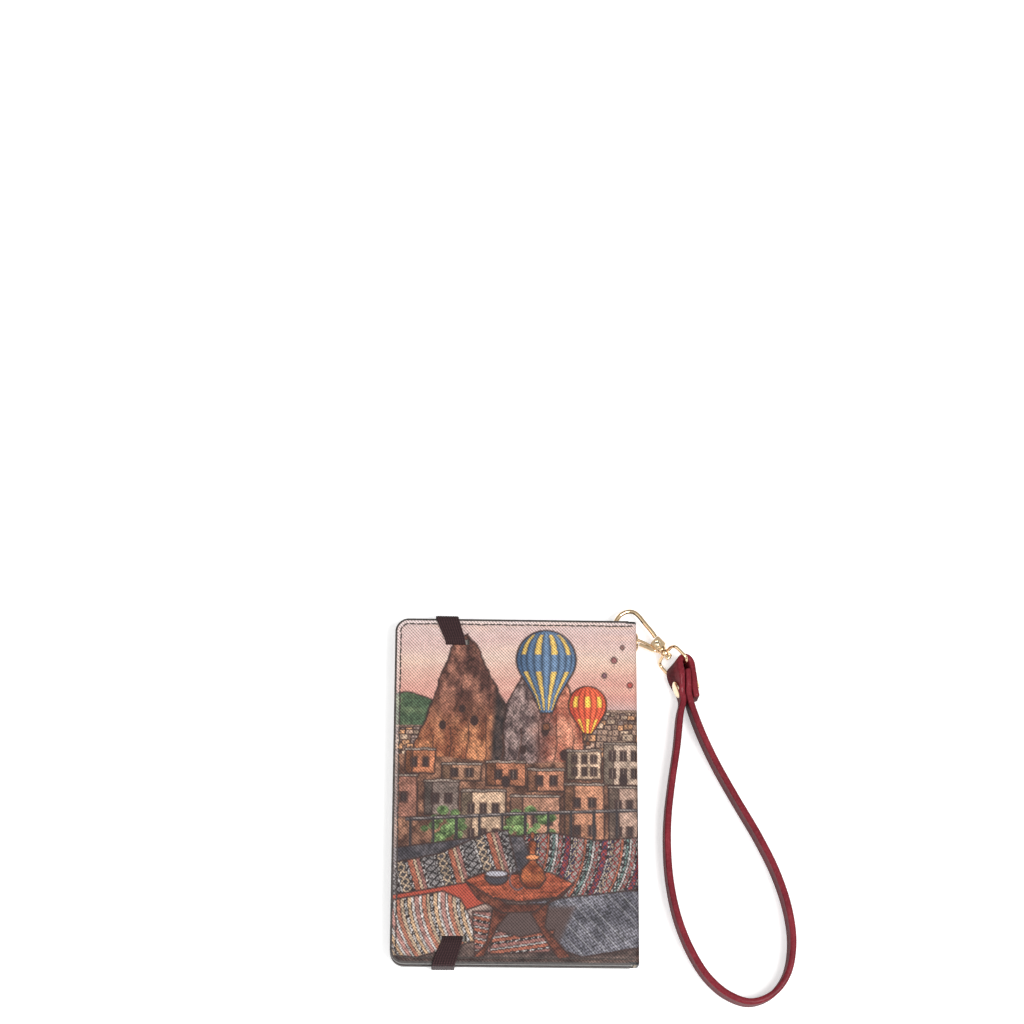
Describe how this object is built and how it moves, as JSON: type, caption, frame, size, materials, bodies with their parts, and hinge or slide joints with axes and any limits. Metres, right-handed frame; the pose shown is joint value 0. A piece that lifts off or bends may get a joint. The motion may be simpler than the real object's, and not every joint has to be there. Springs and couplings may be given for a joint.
{
  "type": "passport holder",
  "caption": "Folding passport holder with a printed textured cover, an elastic closure band, a spine eyelet and a clip-on swivel wrist strap.",
  "frame": {"origin": "middle of the back cover's outer face, which is the face that the closed holder lies on", "axes": "+X from the fore edge to the spine, +Y towards the top edge, +Z out of the front cover"},
  "size_m": [0.1635, 0.1633, 0.0148],
  "materials": {
    "printed_skin": "printed cross-hatch embossed synthetic leather, semi-gloss",
    "edge_paint": "dark satin edge paint",
    "thread": "dark twisted sewing thread",
    "lining": "pale grey woven lining",
    "board": "grey bookbinding board",
    "elastic": "dark brown ribbed elastic",
    "strap": "burgundy grained synthetic leather, satin",
    "gold_metal": "pale gold plating, polished",
    "spring_steel": "bright"
  },
  "bodies": {
    "back_cover": {"back_skin": "printed_skin", "back_board": "board", "back_lining": "lining", "back_edge_paint": "edge_paint", "back_thread": "thread", "passport_sleeve": "lining", "elastic_back_run": "elastic"},
    "spine": {"spine_skin": "printed_skin", "spine_stiffener": "board", "spine_lining": "lining", "spine_eyelet": "gold_metal", "eyelet_washer": "gold_metal"},
    "front_cover": {"front_skin": "printed_skin", "front_board": "board", "front_lining": "lining", "front_edge_paint": "edge_paint", "front_thread": "thread", "card_pocket_1": "lining", "card_pocket_2": "lining", "card_pocket_3": "lining", "elastic_top": "elastic", "elastic_bottom": "elastic"},
    "clasp": {"clasp_body": "gold_metal", "clasp_pin": "gold_metal", "gate_spring": "spring_steel"},
    "gate": {"clasp_gate": "gold_metal"},
    "eye": {"swivel_eye": "gold_metal"},
    "strap": {"wrist_strap": "strap", "rivet_cap": "gold_metal", "rivet_back": "gold_metal"}
  },
  "joints": [
    {"name": "spine_fold", "type": "hinge", "parent": "back_cover", "child": "spine", "pos_m": [0.0486, 0, 0.001], "axis": [0, 1, 0], "range_deg": [0, 90]},
    {"name": "front_fold", "type": "hinge", "parent": "spine", "child": "front_cover", "pos_m": [0.0486, 0, 0.011], "axis": [0, 1, 0], "range_deg": [0, 90], "deforming": ["elastic_top", "elastic_bottom"]},
    {"name": "clasp_swing", "type": "hinge", "parent": "spine", "child": "clasp", "pos_m": [0.0485, 0.0633, 0.006], "axis": [0, 0, 1], "range_deg": [-4, 14]},
    {"name": "gate_hinge", "type": "hinge", "parent": "clasp", "child": "gate", "pos_m": [0.059, 0.0623, 0.006], "axis": [0, 0, -1], "range_deg": [0, 25], "stiffness_Nm_per_rad": 0.008, "springref_deg": -17.19},
    {"name": "eye_swivel", "type": "hinge", "parent": "clasp", "child": "eye", "pos_m": [0.059, 0.0623, 0.006], "axis": [0.682, -0.7314, 0], "continuous": true},
    {"name": "strap_hinge", "type": "hinge", "parent": "eye", "child": "strap", "pos_m": [0.06862, 0.05199, 0.006], "axis": [0.3657, 0.341, 0.866], "range_deg": [-2, 25]}
  ]
}
